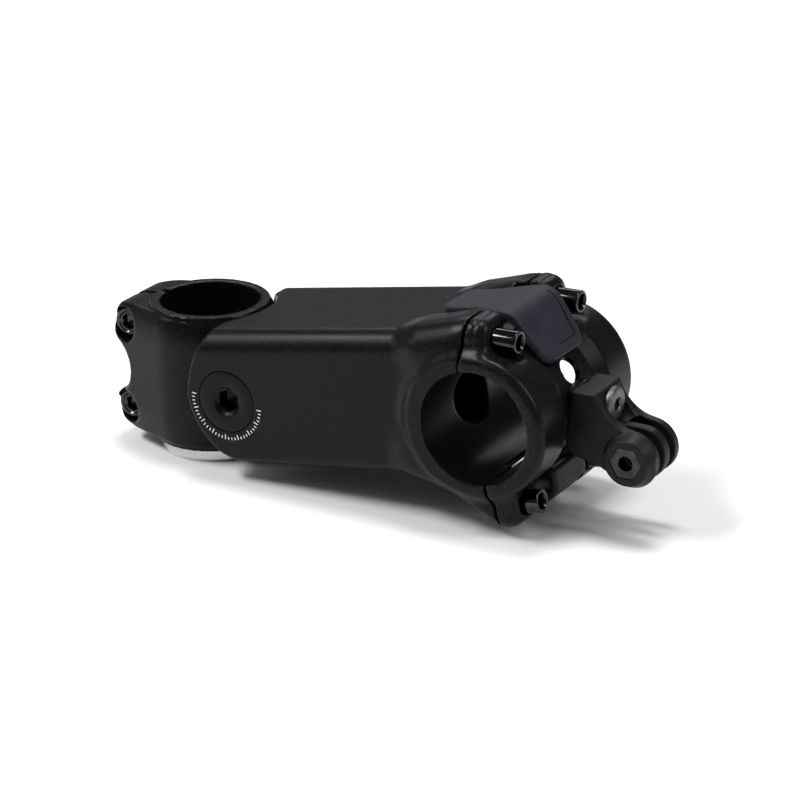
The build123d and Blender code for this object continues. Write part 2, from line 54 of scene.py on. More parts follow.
# ---------------------------------------------------------------- sizes, from the frame
MOUNTS = {m["name"]: m for m in frame["record"]["mounts"]}
JOINTS = {j["name"]: j for j in frame["record"]["behaviour"]["joints"]}


def mm(values):
    return np.array(values, float) / MM


STEERER_R = MOUNTS["steerer_bore"]["dims"]["r_mm"]
BAR = mm(MOUNTS["handlebar_bore"]["pos_m"])
BAR_R = MOUNTS["handlebar_bore"]["dims"]["r_mm"]
PIVOT = mm(JOINTS["suspension_pivot"]["pos_m"])
SWING = JOINTS["suspension_pivot"]["range_deg"]
EYE = mm(MOUNTS["accessory_eye"]["pos_m"])
EYE[1] = 0.0
EYE_BORE_R = MOUNTS["accessory_eye"]["dims"]["r_mm"]
HALF_H = mm(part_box("steerer_clamp")[1])[2]          # half the clamp's height
BARREL_HALF = mm(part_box("stem_body")[1])[1]         # half the bar clamp's width
CAP_HALF = mm(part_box("pivot_bolts")[1])[1]          # outer face of the pivot caps
CAP_R = (mm(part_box("pivot_bolts")[1]) - mm(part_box("pivot_bolts")[0]))[0] / 2

# steerer clamp
CLAMP_R, RING_R = 19.4, 17.6                # its barrel, and the ring at each end
RIM_H, FLARE_H = 1.5, 9.0                   # the ring's height, and the bell below it
LUG_X, LUG_Z, LUG_R, LUG_HALF, LUG_CORNER = -21.8, 12.5, 6.0, 12.6, 6.5
WAIST_X, WAIST_Z, WAIST_R = -28.8, -0.8, 8.8        # hollow between the lugs
SLIT_HALF = 1.0
PINCH_SEAT, PINCH_POCKET_R, WASHER = -4.4, 4.9, 1.0
EAR_HALF, EAR_R = 15.4, 9.2                 # the tongue at the pivot
LEVER_HALF, LEVER_TIP, TIP_R = 11.0, 54.0, 4.6      # and in front of it
LEVER_RISE = math.tan(math.radians(8))
SWING_GAP = 0.7                             # between the clamp and the swinging cheeks

# hollow arm
CHEEK_IN, CHEEK_R, BODY_HALF, WALL = 15.9, 13.3, 24.0, 4.0
TOP_START, TOP_RISE = (15, 19.8), math.tan(math.radians(9.6))      # x and z, then slope
LOW_START, LOW_RISE = (23.5, -18.3), math.tan(math.radians(8.3))
ARM_END, CAVITY_END, WINDOW_R = 92.0, 78.0, 9.0
BEARING_R, CAP_SEAT = 8.3, 21.8

# bar clamp, split into cradle and faceplate
BARREL_R, BAND_R = 20.4, 18.2               # its two full bands, and the recessed middle
BAND_HALF, BEVEL_HALF = 8.0, 13.5
BOLT_Y, BOSS_IN, BOSS_OUT = 17.9, 12.7, 24.6
TOP_BOLT, LOW_BOLT = (108.9, 31.0, 0.5), (115.4, -12.7, 12.0)   # head end x and z, and tilt
TOP_BOSS_X, TOP_BOSS_R, LOW_BOSS_X, LOW_BOSS_R = 97.5, 6.05, 106.5, 6.0
TOP_BOSS_END, LOW_BOSS_END = 0.9, 3.9       # how far the bosses pass the bolts' seats
GROOVE_BACK, GROOVE_HALF, GROOVE_DEPTH = 10.8, 0.25, 0.35
SPLIT_TOP, SPLIT_LOW, SPLIT_DROP, FACE_GAP = 4.9, 3.2, 18, 0.9
OPEN_TOP_X, OPEN_LOW_X, OPEN_LOW_HALF = 91.5, 100.5, 10.6       # openings in its middle
SIGHT_WINDOWS, SIGHT_R, SIGHT_X = ((17.8, 34), (-7.6, -48)), 4.2, 14.0

# accessory mount
MOUNT_SCREW_Z, MOUNT_FACE_X, MOUNT_HALF = 11.0, 128.0, 7.7
MOUNT_BOSS_R, MOUNT_BOSS_X = 5.4, 119.4
HUB_R, PRONG, PRONG_GAP = 7.5, 3.0, 3.2
EYE_OUT, EYE_TAPER, NUT_HALF = 10.5, 0.46, 4.15     # NUT_HALF is half across the pocket's flats

# bolts and screws
M5_R, M5_TIP_R, TIP_BEVEL = 2.5, 2.1, 0.4
HEX_4, HEX_6, HEX_3 = 4.0, 6.0, 3.0         # socket widths across flats
HEAD_R, HEAD_L, SHANK = 3.2, 8.0, 12.0      # face bolts
PINCH_HEAD_R, PINCH_HEAD_L, PINCH_SHANK = 4.25, 4.6, 12.4
AXLE_R, AXLE_L, CAP_T = 5.0, 18.5, 2.0      # pivot bolts

# index ticks round the right pivot cap, in degrees from forward, turning up
TICK_R, TICK_LONG, TICK_SHORT, TICK_HALF = 11.3, 1.4, 0.8, 0.14
TICKS_FROM, TICKS_TO, TICK_COUNT, TICKS_PER_LONG = 176, 356, 33, 4
TICK_SKIN = 0.04                            # how far the print stands proud


# ---------------------------------------------------------------- distance fields
# A field gives the distance to a surface in millimetres, negative inside. Fields take x, y and z
# arrays that broadcast, so a field of x and z alone costs little on a grid.
def rmax(a, b, r):
    """Where both are inside, with the edge between them rounded to radius r."""
    return np.minimum(np.maximum(a, b), -r) + np.hypot(np.maximum(a + r, 0), np.maximum(b + r, 0))


def rmin(a, b, r):
    """Where either is inside, with a fillet of radius r between them."""
    return -rmax(-a, -b, r)


def cut(a, b, r):
    """The first without the second, edges rounded to radius r."""
    return rmax(a, -b, r)


def ring(u, v, cu, cv, radius):
    return np.hypot(u - cu, v - cv) - radius


def span(value, low, high):
    return np.abs(value - (low + high) / 2) - (high - low) / 2


def box_field(x, y, z, x0, x1, y0, y1, z0, z1):
    return np.maximum(np.maximum(span(x, x0, x1), span(y, y0, y1)), span(z, z0, z1))


def circle_through(a, b, c):
    """Centre and radius of the circle through three points of the side view."""
    rows = 2 * np.array([[b[0] - a[0], b[1] - a[1]], [c[0] - a[0], c[1] - a[1]]])
    right = np.array([b[0]**2 + b[1]**2 - a[0]**2 - a[1]**2,
                      c[0]**2 + c[1]**2 - a[0]**2 - a[1]**2])
    centre = np.linalg.solve(rows, right)
    return centre[0], centre[1], math.dist(centre, a)


def convex_hull(points):
    points = sorted(map(tuple, points))
    chains = []
    for row in (points, points[::-1]):
        chain = []
        for p in row:
            while len(chain) > 1 and np.cross(np.subtract(chain[-1], chain[-2]),
                                              np.subtract(p, chain[-1])) <= 0:
                chain.pop()
            chain.append(p)
        chains += chain[:-1]
    return chains


def hull_field(u, v, *discs):
    """Field of the convex hull of discs given as (u, v, radius)."""
    turns = np.arange(72) * math.tau / 72
    rim = [(a + r * math.cos(t), b + r * math.sin(t)) for a, b, r in discs for t in turns]
    hull = convex_hull(rim)
    far = None
    for p, q in zip(hull, hull[1:] + hull[:1]):
        du, dv = q[0] - p[0], q[1] - p[1]
        size = math.hypot(du, dv)
        if size < 1e-6:
            continue
        side = ((u - p[0]) * dv - (v - p[1]) * du) / size
        far = side if far is None else np.maximum(far, side)
    return far


def contour(name, field, low, high, step, limits):
    """Mesh of a field's surface by dual contouring, which keeps its sharp edges sharp. No vertex
    leaves the limits, a box in metres."""
    axes = [np.arange(a - step, b + 2 * step, step) for a, b in zip(low, high)]
    shape = tuple(len(a) for a in axes)
    grid = np.broadcast_to(field(axes[0][:, None, None], axes[1][None, :, None],
                                 axes[2][None, None, :]), shape)
    inside = grid < 0
    cells = tuple(n - 1 for n in shape)
    points, corners = [], []
    for axis in range(3):
        near = [slice(None)] * 3
        far = [slice(None)] * 3
        near[axis], far[axis] = slice(None, -1), slice(1, None)
        index = np.argwhere(inside[tuple(near)] != inside[tuple(far)])
        nxt = index.copy()
        nxt[:, axis] += 1
        f0, f1 = grid[tuple(index.T)], grid[tuple(nxt.T)]
        place = np.stack([axes[i][index[:, i]] for i in range(3)], 1)
        place[:, axis] += step * f0 / (f0 - f1)
        u, v = (axis + 1) % 3, (axis + 2) % 3
        quad = []
        for du, dv in ((0, 0), (1, 0), (1, 1), (0, 1)):
            cell = index.copy()
            cell[:, u] -= du
            cell[:, v] -= dv
            quad.append(np.ravel_multi_index(cell.T, cells, mode="clip"))
        quad = np.stack(quad, 1)
        flip = f0 > 0
        quad[flip] = quad[flip][:, ::-1]
        points.append(place)
        corners.append(quad)
    points, corners = np.concatenate(points), np.concatenate(corners)
    tiny = 0.02             # step for the slope of the field
    pull = 0.06             # draws each vertex towards the middle of its crossings
    reach_limit = 0.9       # of a cell
    normals = np.empty_like(points)
    for i in range(3):
        shift = np.zeros(3)
        shift[i] = tiny
        normals[:, i] = field(*(points + shift).T) - field(*(points - shift).T)
    normals /= np.maximum(np.linalg.norm(normals, axis=1, keepdims=True), 1e-9)
    used, spot = np.unique(corners.ravel(), return_inverse=True)
    spot = spot.reshape(-1)
    count = np.bincount(spot)

    def gather(values):
        return np.bincount(spot, weights=np.repeat(values, 4))

    middle = np.stack([gather(points[:, i]) / count for i in range(3)], 1)
    flat = np.einsum("ij,ij->i", normals, points)
    matrix = np.empty((len(used), 3, 3))
    right = np.empty((len(used), 3))
    for i in range(3):
        right[:, i] = gather(normals[:, i] * flat)
        for j in range(i, 3):
            matrix[:, i, j] = matrix[:, j, i] = gather(normals[:, i] * normals[:, j])
    right -= np.einsum("nij,nj->ni", matrix, middle)
    matrix += pull * np.eye(3)
    move = np.linalg.solve(matrix, right[:, :, None])[:, :, 0]
    reach = np.linalg.norm(move, axis=1, keepdims=True)
    move *= np.minimum(1, reach_limit * step / np.maximum(reach, 1e-9))
    verts = np.clip((middle + move) * MM, *np.array(limits))
    mesh = bpy.data.meshes.new(name)
    mesh.from_pydata(verts, [], spot.reshape(-1, 4))
    mesh.validate()
    mesh.shade_smooth()
    mesh.set_sharp_from_angle(angle=math.radians(38))
    made = bpy.data.objects.new(name, mesh)
    bpy.context.scene.collection.objects.link(made)
    return made


# ---------------------------------------------------------------- the forged shells
def body_top(x):
    return TOP_START[1] + TOP_RISE * (x - TOP_START[0])


def body_bottom(x):
    return LOW_START[1] + LOW_RISE * (x - LOW_START[0])


def bolt_line(bolt, x):
    return bolt[1] + (x - bolt[0]) * math.tan(math.radians(bolt[2]))


def along_bolt(bolt, x, y, z):
    """Distance forward of a face bolt's head end, and radial distance from its axis."""
    lean = math.radians(bolt[2])
    dx, dz = x - bolt[0], z - bolt[1]
    forward = dx * math.cos(lean) + dz * math.sin(lean)
    up = dz * math.cos(lean) - dx * math.sin(lean)
    return forward, np.hypot(np.abs(y) - BOLT_Y, up)


def barrel_field(x, y, z):
    side = np.abs(y)
    outside = np.interp(side, [0, BAND_HALF, BEVEL_HALF, 99], [BAND_R, BAND_R, BARREL_R, BARREL_R])
    return rmax(ring(x, z, BAR[0], BAR[2], 0) - outside, side - BARREL_HALF, 2.6)


def bar_clamp_field(x, y, z):
    side = np.abs(y)
    barrel = (BAR[0], BAR[2], BARREL_R - 5)
    top_front = (TOP_BOSS_X, bolt_line(TOP_BOLT, TOP_BOSS_X), TOP_BOSS_R)
    low_front = (LOW_BOSS_X, bolt_line(LOW_BOLT, LOW_BOSS_X), LOW_BOSS_R)
    top = hull_field(x, z, top_front, (83, body_top(83) - 5.3, 5.2), barrel)
    low = hull_field(x, z, low_front, (82, body_bottom(82) + 6.5, 6), barrel)
    top = rmax(rmax(top, side - BOSS_OUT, 5.5), BOSS_IN - side, 1.0)
    low = rmax(rmax(low, side - BOSS_OUT, 4.0), BOSS_IN - side, 1.0)
    # a fine groove runs round each upper boss behind its bolt's head
    forward = along_bolt(TOP_BOLT, x, y, z)[0]
    groove = np.maximum(np.abs(forward + GROOVE_BACK) - GROOVE_HALF, -GROOVE_DEPTH - top)
    top = rmax(cut(top, groove, 0.15), forward + HEAD_L - TOP_BOSS_END, 1.2)
    low = rmax(low, along_bolt(LOW_BOLT, x, y, z)[0] + HEAD_L - LOW_BOSS_END, 1.2)
    return rmin(rmin(barrel_field(x, y, z), top, 2.8), low, 2.8)


def split_x(z):
    """Where the faceplate parts from the cradle: upright above the bar, leaning below it."""
    lean = math.tan(math.radians(LOW_BOLT[2]))
    below = BAR[0] + SPLIT_LOW + (BAR[2] - z - SPLIT_DROP) * lean
    return np.where(z > BAR[2], BAR[0] - SPLIT_TOP, below)


def rear_outline(x, z):
    """The beam's rounded rear end in the side view."""
    rear = PIVOT[0] - CHEEK_R
    low_x, low_z, low_r = circle_through((24.5, body_bottom(24.5)), (11.0, -9.6), (rear, PIVOT[2]))
    up_x, up_z, up_r = circle_through((rear, PIVOT[2]), (8.4, 9.5), (13.0, body_top(13.0)))
    low = np.hypot(np.minimum(x - low_x, 0), np.minimum(z - low_z, 0)) - low_r
    up = np.hypot(np.minimum(x - up_x, 0), np.maximum(z - up_z, 0)) - up_r
    return np.maximum(low, up)


def swept_rear(x, z):
    """Everything the rear end passes over as the stem swings about its pivot."""
    swept = None
    for turn in np.radians(np.linspace(*SWING, 4)):
        dx, dz = x - PIVOT[0], z - PIVOT[2]
        back_x = PIVOT[0] + dx * math.cos(turn) - dz * math.sin(turn)
        back_z = PIVOT[2] + dx * math.sin(turn) + dz * math.cos(turn)
        outline = rear_outline(back_x, back_z)
        swept = outline if swept is None else np.minimum(swept, outline)
    return swept


def beam_field(x, y, z):
    outline = np.maximum(rear_outline(x, z), x - ARM_END)
    top = (z - body_top(x)) * math.cos(math.atan(TOP_RISE))
    bottom = (body_bottom(x) - z) * math.cos(math.atan(LOW_RISE))
    sides = np.abs(y) - BODY_HALF
    solid = rmax(rmax(sides, top, 6.5), bottom, 4.5)
    return rmax(solid, outline, 0.9)


def body_field(x, y, z):
    side = np.abs(y)
    bar = ring(x, z, BAR[0], BAR[2], 0)
    solid = rmin(beam_field(x, y, z), bar_clamp_field(x, y, z), 6.5)
    solid = rmax(solid, x - split_x(z), 0.45)
    solid = cut(solid, bar - BAR_R, 0.55)
    above = np.maximum(np.maximum(OPEN_TOP_X - x, side - BOSS_IN), BAR[2] + 10 - z)
    below = np.maximum(np.maximum(OPEN_LOW_X - x, side - OPEN_LOW_HALF), z - BAR[2] + 9)
    solid = cut(cut(solid, above, 0.8), below, 0.8)
    solid = cut(solid, ring(x, y, 0, 0, RING_R + 1.3), 0.7)
    # cavity for the tongue, open below at the rear, and its window to the bar
    floor = np.minimum(body_bottom(x) + WALL - z, x - 24)
    ends = np.maximum(x - CAVITY_END, floor)
    cavity = np.maximum(np.maximum(side - CHEEK_IN, z - body_top(x) + WALL), ends)
    solid = cut(solid, cavity, 0.6)
    window = np.maximum(ring(y, z, 0, BAR[2] - 1, WINDOW_R), span(x, CAVITY_END - 2, ARM_END))
    solid = cut(solid, window, 0.6)
    hub = ring(x, z, PIVOT[0], PIVOT[2], 0)
    solid = cut(solid, np.maximum(hub - CAP_R - 0.2, CAP_SEAT - side), 0.25)
    solid = np.maximum(solid, -np.maximum(hub - BEARING_R, 15 - side))
    for bolt in (TOP_BOLT, LOW_BOLT):
        forward, radius = along_bolt(bolt, x, y, z)
        solid = np.maximum(solid, -np.maximum(radius - M5_R - 0.25, -HEAD_L - SHANK - 1 - forward))
    return solid


def faceplate_field(x, y, z):
    solid = rmax(bar_clamp_field(x, y, z), split_x(z) + FACE_GAP - x, 0.45)
    boss = np.maximum(ring(y, z, 0, MOUNT_SCREW_Z, MOUNT_BOSS_R), span(x, 110, MOUNT_BOSS_X))
    solid = rmin(solid, boss, 0.5)
    solid = cut(solid, ring(x, z, BAR[0], BAR[2], BAR_R), 0.55)
    for bolt in (TOP_BOLT, LOW_BOLT):
        forward, radius = along_bolt(bolt, x, y, z)
        seat = np.maximum(radius - HEAD_R - 0.3, -HEAD_L - forward)
        scoop = rmax(radius - HEAD_R - 1.5, -HEAD_L + 2.4 - forward, 2.0)
        solid = cut(cut(solid, scoop, 0.7), seat, 0.2)
        solid = np.maximum(solid, M5_R + 0.05 - radius)
    for centre_z, lean in SIGHT_WINDOWS:
        turn = math.radians(lean)
        dx, dz = x - BAR[0] - SIGHT_X, z - centre_z
        up = dz * math.cos(turn) - dx * math.sin(turn)
        out = dz * math.sin(turn) + dx * math.cos(turn)
        window = rmax(np.hypot(y, up * 1.15) - SIGHT_R, np.abs(out) - 12, 0.1)
        solid = cut(solid, window, 0.6)
    screw_hole = np.maximum(ring(y, z, 0, MOUNT_SCREW_Z, M5_R + 0.05), 100 - x)
    return np.maximum(solid, -screw_hole)


def clamp_plan_field(x, y):
    cx, cy = LUG_X - LUG_R + LUG_CORNER, LUG_HALF - LUG_CORNER
    return hull_field(x, y, (0, 0, CLAMP_R), (cx, cy, LUG_CORNER), (cx, -cy, LUG_CORNER))


def clamp_field(x, y, z):
    side, height = np.abs(y), np.abs(z)
    wall_top = HALF_H - RIM_H - FLARE_H
    ease = np.clip((height - wall_top) / FLARE_H, 0, 1)
    shrink = (CLAMP_R - RING_R) * ease * ease
    plan = (clamp_plan_field(x, y) + shrink) * 0.95     # the flare steepens the field a little
    solid = rmax(plan, height - HALF_H + RIM_H, 0.6)
    collar = rmax(ring(x, y, 0, 0, RING_R - 0.3), height - HALF_H, 0.45)
    solid = rmin(solid, collar, 0.25)
    # side view: from the rings, sloping back to the lugs, with the hollow between them
    sketch = []
    for s in (1, -1):
        sketch += [(28.0, s * (HALF_H - 0.01), 0.01), (0.6 - RING_R, s * (HALF_H - 0.4), 0.4)]
        sketch.append((LUG_X, s * LUG_Z, LUG_R))
    solid = rmax(solid, hull_field(x, z, *sketch), 1.4)
    solid = cut(solid, ring(x, z, WAIST_X, WAIST_Z, WAIST_R), 1.4)
    scoop = np.maximum(swept_rear(x, z) - SWING_GAP, EAR_HALF - side)
    solid = cut(solid, scoop, 0.6)
    # tongue: an ear at the pivot, and a lever forward of it into the arm
    pivot_disc = (PIVOT[0], PIVOT[2], EAR_R)
    lever_tip = (LEVER_TIP, PIVOT[2] + LEVER_RISE * (LEVER_TIP - PIVOT[0]), TIP_R)
    lever = hull_field(x, z, pivot_disc, lever_tip)
    ear = hull_field(x, z, pivot_disc, (8, 11, 1), (8, -11, 1))
    solid = rmin(solid, rmax(lever, side - LEVER_HALF, 1.0), 2.0)
    solid = rmin(solid, rmax(ear, side - EAR_HALF, 0.3), 0.6)
    solid = cut(solid, ring(x, y, 0, 0, STEERER_R), 0.6)
    solid = cut(solid, np.maximum(side - SLIT_HALF, x + 12), 0.35)
    for s in (1, -1):
        pinch = ring(x, z, LUG_X, s * LUG_Z, 0)
        solid = cut(solid, np.maximum(pinch - PINCH_POCKET_R, y - PINCH_SEAT), 0.5)
        solid = np.maximum(solid, -np.maximum(pinch - M5_R - 0.05, y - 8))
    hub = ring(x, z, PIVOT[0], PIVOT[2], 0)
    return np.maximum(solid, -np.maximum(hub - AXLE_R, 5 - side))


# ---------------------------------------------------------------- materials
class Finish:
    """A node material with one Principled shader, and short calls for the nodes that feed it."""

    def __init__(self, name, **sockets):
        self.material = bpy.data.materials.new(name)
        self.material.use_nodes = True
        self.tree = self.material.node_tree
        self.shader = self.tree.nodes["Principled BSDF"]
        self.place = self.tree.nodes.new("ShaderNodeTexCoord").outputs["Object"]
        for label, value in sockets.items():
            self.shader.inputs[label.replace("_", " ")].default_value = value

    def node(self, kind, inputs=None, **settings):
        made = self.tree.nodes.new(kind)
        for key, value in settings.items():
            setattr(made, key, value)
        for key, value in (inputs or {}).items():
            if isinstance(value, bpy.types.NodeSocket):
                self.tree.links.new(value, made.inputs[key])
            else:
                made.inputs[key].default_value = value
        return made

    def noise(self, size_mm, detail=3.0, stretch=None):
        place = self.place
        if stretch:
            scaled = self.node("ShaderNodeVectorMath", {0: place, 1: stretch}, operation="MULTIPLY")
            place = scaled.outputs[0]
        inputs = {"Vector": place, "Scale": 1 / (size_mm * MM), "Detail": detail}
        return self.node("ShaderNodeTexNoise", inputs).outputs["Fac"]

    def ramp(self, value, low, high, out_low, out_high):
        made = self.node("ShaderNodeMapRange", {"Value": value, "From Min": low, "From Max": high,
                                                "To Min": out_low, "To Max": out_high})
        return made.outputs[0]

    def blend(self, value, dark, light):
        made = self.node("ShaderNodeMix", {"Factor": value}, data_type="RGBA")
        made.inputs["A"].default_value = (*dark, 1)
        made.inputs["B"].default_value = (*light, 1)
        return made.outputs["Result"]

    def layer(self, value, under, colour):
        made = self.node("ShaderNodeMix", {"Factor": value}, data_type="RGBA")
        self.tree.links.new(under, made.inputs["A"])
        made.inputs["B"].default_value = (*colour, 1)
        return made.outputs["Result"]

    def feed(self, socket, value):
        self.tree.links.new(value, self.shader.inputs[socket])

    def bump(self, *layers):
        """Stack bumps given as (height, depth in millimetres)."""
        normal = None
        for height, depth in layers:
            inputs = {"Height": height, "Distance": depth * MM, "Strength": 1.0}
            if normal is not None:
                inputs["Normal"] = normal
            normal = self.node("ShaderNodeBump", inputs).outputs[0]
        self.feed("Normal", normal)


def anodised(name, dark, light, rough_low, rough_high, grain=0.018, edge_highlight_strength=0.35):
    """Bead-blasted black anodising: fine sparkling grain, slight mottling, and a lighter colour on
    sharp edges that is a painted edge highlight.
    """
    made = Finish(name, Metallic=0.0, Specular_IOR_Level=0.13)
    fine, broad = made.noise(0.40, 3.0), made.noise(9.0, 3.0)
    edge = made.node("ShaderNodeNewGeometry").outputs["Pointiness"]
    # painted edge highlight: a lighter colour laid on sharp convex edges, picked out by their
    # pointiness
    painted_edge_highlight = made.ramp(edge, 0.54, 0.62, 0.0, edge_highlight_strength)
    tone = made.blend(made.ramp(fine, 0.45, 0.70, 0.0, 1.0), dark, light)
    made.feed("Base Color", made.layer(painted_edge_highlight, tone, (0.06, 0.062, 0.068)))
    made.feed("Roughness", made.ramp(broad, 0.3, 0.7, rough_low, rough_high))
    made.bump((fine, grain), (made.noise(1.6), grain))
    return made


def steel(name, dark, light, rough_low, rough_high, stretch=(1, 1, 1)):
    """Machined steel: fine turning lines along one direction, and faint stains."""
    made = Finish(name, Metallic=1.0)
    lines, stain = made.noise(0.5, 4.0, stretch), made.noise(2.2, 3.0)
    made.feed("Base Color", made.blend(made.ramp(stain, 0.35, 0.7, 0.0, 1.0), dark, light))
    made.feed("Roughness", made.ramp(lines, 0.3, 0.7, rough_low, rough_high))
    made.bump((lines, 0.002))
    return made


def moulded(name, dark, light, rough_low, rough_high, grain=0.02, **sockets):
    """Moulded plastic or rubber: fine pebble of the mould's surface, with slightly mottled tone."""
    made = Finish(name, **sockets)
    cells = {"Vector": made.place, "Scale": 1 / (0.42 * MM)}
    pebble = made.node("ShaderNodeTexVoronoi", cells).outputs[0]
    broad = made.noise(6.0, 4.0)
    made.feed("Base Color", made.blend(made.ramp(broad, 0.3, 0.7, 0.0, 1.0), dark, light))
    made.feed("Roughness", made.ramp(broad, 0.3, 0.7, rough_low, rough_high))
    made.bump((pebble, grain), (made.noise(0.9), grain))
    return made


def make_finishes():
    """Every finish by its slot: name, dark and light tone, least and most roughness, and grain."""
    black = (0.0012, 0.0012, 0.0014)
    made = {
        "body_alloy": anodised("body_anodising", black, (0.012, 0.0127, 0.0160), 0.30, 0.36),
        "clamp_alloy": anodised("clamp_anodising", black, (0.009, 0.0095, 0.012), 0.25, 0.31),
        "faceplate_alloy": anodised("faceplate_anodising", black, (0.014, 0.0147, 0.0180),
                                    0.28, 0.34),
        "pivot_cap": anodised("cap_anodising", (0.0015, 0.0015, 0.0015), (0.004, 0.004, 0.0045),
                              0.26, 0.34, 0.002),
        "black_bolt": steel("black_oxide", (0.028, 0.028, 0.031), (0.055, 0.055, 0.060),
                            0.09, 0.16),
        "grey_screw": steel("satin_grey_steel", (0.10, 0.105, 0.11), (0.16, 0.165, 0.17),
                            0.42, 0.55),
        "bearing_steel": steel("ground_steel", (0.45, 0.46, 0.48), (0.58, 0.59, 0.61),
                               0.12, 0.22, (1, 8, 1)),
        "plain_steel": steel("zinc_plate", (0.34, 0.34, 0.36), (0.46, 0.46, 0.48), 0.28, 0.42),
        "seal_rubber": moulded("seal_rubber", (0.008, 0.008, 0.008), (0.016, 0.016, 0.016),
                               0.55, 0.7),
        "elastomer": moulded("elastomer", (0.20, 0.03, 0.015), (0.30, 0.06, 0.03),
                             0.42, 0.6, 0.03),
        "pad_rubber": moulded("pad_rubber", (0.012, 0.012, 0.012), (0.025, 0.025, 0.025),
                              0.6, 0.75, 0.03),
        "cover_plastic": moulded("soft_touch_cover", (0.014, 0.015, 0.022), (0.020, 0.021, 0.030),
                                 0.50, 0.60, 0.006, Specular_IOR_Level=0.2),
        "mount_plastic": moulded("moulded_mount", (0.004, 0.004, 0.005), (0.009, 0.009, 0.011),
                                 0.42, 0.52, 0.010, Specular_IOR_Level=0.18),
        "white_paint": moulded("white_print", (0.72, 0.72, 0.72), (0.84, 0.84, 0.84),
                               0.5, 0.6, 0.002),
        "wedge_plastic": moulded("glass_filled_nylon", (0.03, 0.03, 0.03), (0.05, 0.05, 0.05),
                                 0.5, 0.65),
    }
    return {slot: finish.material for slot, finish in made.items()}


FINISHES = make_finishes()


def finish_cad_nodes():
    """Give every carried-over CAD node its finish, by the slot that the record names for it."""
    for part in frame["record"]["subparts"]:
        node = frame["nodes"][part["node"]]
        node.data.materials.clear()
        node.data.materials.append(FINISHES[part["material_slot"]])


def place_piece(piece, slot, body, *nodes):
    """Finish a new piece, and let it ride and stand for the CAD nodes it replaces."""
    piece.data.materials.clear()
    piece.data.materials.append(FINISHES[slot])
    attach(piece, body)
    if nodes:
        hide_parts(*nodes)
    return piece


# ---------------------------------------------------------------- room, light and camera
def make_floor():
    """Plain pale sweep: flat floor that curves up far behind."""
    size, bend, low = 12.0, 0.6, -0.0235
    wall = size / 3
    turns = np.linspace(0, math.pi / 2, 24)
    curve = [(wall + bend * math.sin(t), bend * (1 - math.cos(t))) for t in turns]
    profile = [(-size, 0.0), *curve, (wall + bend, size)]
    turn = Matrix.Rotation(math.radians(120), 3, "Z")
    sides = (-size * 1.5, size * 1.5)
    verts = [turn @ Vector((along, side, up + low)) for along, up in profile for side in sides]
    faces = [(2 * i, 2 * i + 2, 2 * i + 3, 2 * i + 1) for i in range(len(profile) - 1)]
    mesh = bpy.data.meshes.new("floor")
    mesh.from_pydata(verts, [], faces)
    mesh.shade_smooth()
    floor = bpy.data.objects.new("floor", mesh)
    bpy.context.scene.collection.objects.link(floor)
    made = Finish("paper_floor", Roughness=0.85)
    made.feed("Base Color", made.blend(made.noise(600.0), (0.86, 0.86, 0.86), (0.90, 0.90, 0.90)))
    floor.data.materials.append(made.material)


def aim(thing, place, target, roll=0.0):
    """Point a camera or light from place at target, with its up side level, then rolled."""
    look = (Vector(target) - Vector(place)).normalized()
    turn = look.to_track_quat("-Z", "Y").to_matrix().to_4x4()
    rolled = turn @ Matrix.Rotation(math.radians(roll), 4, "Z")
    thing.matrix_world = Matrix.Translation(place) @ rolled


def add_light(name, place, target, width, height, watts, colour=(1, 1, 1)):
    data = bpy.data.lights.new(name, "AREA")
    data.shape, data.size, data.size_y = "RECTANGLE", width, height
    data.energy, data.color = watts, colour
    light = bpy.data.objects.new(name, data)
    bpy.context.scene.collection.objects.link(light)
    aim(light, place, target)
    return light


def make_lights():
    middle = (BAR[0] * MM / 2, 0, 0)
    add_light("top_softbox", (0.05, 0.15, 1.30), middle, 0.45, 0.30, 9.0)
    add_light("back_strip", (-0.45, 1.10, 0.95), middle, 1.20, 0.30, 5.0)
    add_light("edge_strip", (-0.67, -0.50, 1.12), middle, 0.80, 0.20, 15.0)
    add_light("left_strip", (-1.10, -0.60, 0.75), middle, 0.25, 0.90, 3.0)
    add_light("right_strip", (1.10, 0.10, 0.85), middle, 0.25, 0.80, 6.0)
    world = bpy.data.worlds.new("studio")
    bpy.context.scene.world = world
    world.use_nodes = True
    shade = world.node_tree.nodes["Background"]
    shade.inputs["Color"].default_value = (1, 1, 1, 1)
    shade.inputs["Strength"].default_value = 0.14


def make_camera():
    """Three-quarter view from the front right, 21 degrees up, from 0.9 m."""
    data = bpy.data.cameras.new("camera")
    camera = bpy.data.objects.new("camera", data)
    bpy.context.scene.collection.objects.link(camera)
    azimuth, height, distance = math.radians(30.96), math.radians(21.25), 0.9015
    target = Vector((0.050, 0.0, 0.0022))
    back = Vector((math.sin(azimuth) * math.cos(height), -math.cos(azimuth) * math.cos(height),
                   math.sin(height)))
    data.sensor_width = 36.0
    data.lens = 145.7
    data.shift_x, data.shift_y = 0.0458, -0.0173
    data.clip_start, data.clip_end = 0.05, 20.0
    aim(camera, target + back * distance, target, roll=-1.33)
    bpy.context.scene.camera = camera
    bpy.context.scene.view_settings.view_transform = "Standard"


# ---------------------------------------------------------------- covers and accessory mount
ROOF_POINT, ROOF_LEAN = (101.5, 37.0), math.atan(0.167)
COVER_BEND, COVER_TIP, COVER_REAR = (104.2, 36.2), (114.4, 23.6), 79.4
TIP_OUT, COVER_THICK = (0.63, -0.78), 2.1           # the way its front edge faces
COVER_HALF = ((79.5, 7.6), (89.5, 8.4), (97.5, 11.6), (102.0, 12.4),        # x and half width
              (106.5, 12.4), (111.0, 10.9), (114.6, 8.6))


